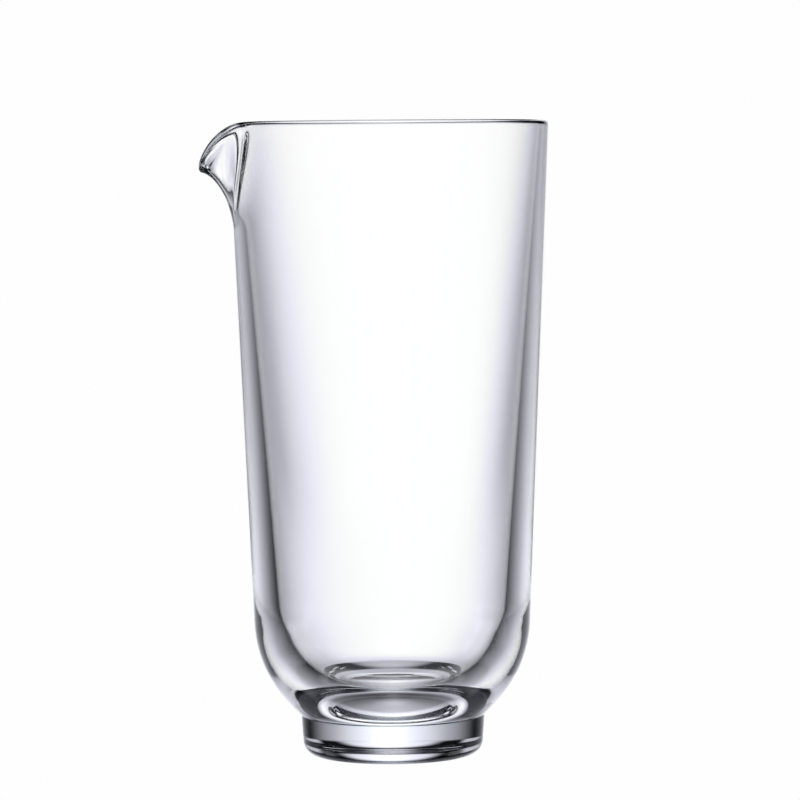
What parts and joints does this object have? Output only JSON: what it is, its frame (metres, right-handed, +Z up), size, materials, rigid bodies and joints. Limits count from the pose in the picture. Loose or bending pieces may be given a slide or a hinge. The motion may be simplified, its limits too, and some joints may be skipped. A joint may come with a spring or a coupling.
{
  "type": "mixing glass",
  "caption": "Tall footed bar mixing glass with thick tapered walls, a rounded inner floor and a drooping pouring lip pulled from the rim.",
  "frame": {"origin": "centre of the ring the foot stands on, in the plane of the table", "axes": "+Z up along the axis of the glass, out of its mouth; the pouring lip points along -X; Y = 0 is the mirror plane"},
  "size_m": [0.0979, 0.0894, 0.178],
  "materials": {
    "clear_crystal": "fire-polished, clear and colourless"
  },
  "bodies": {
    "root": {"bowl": "clear_crystal", "foot": "clear_crystal"}
  },
  "joints": []
}
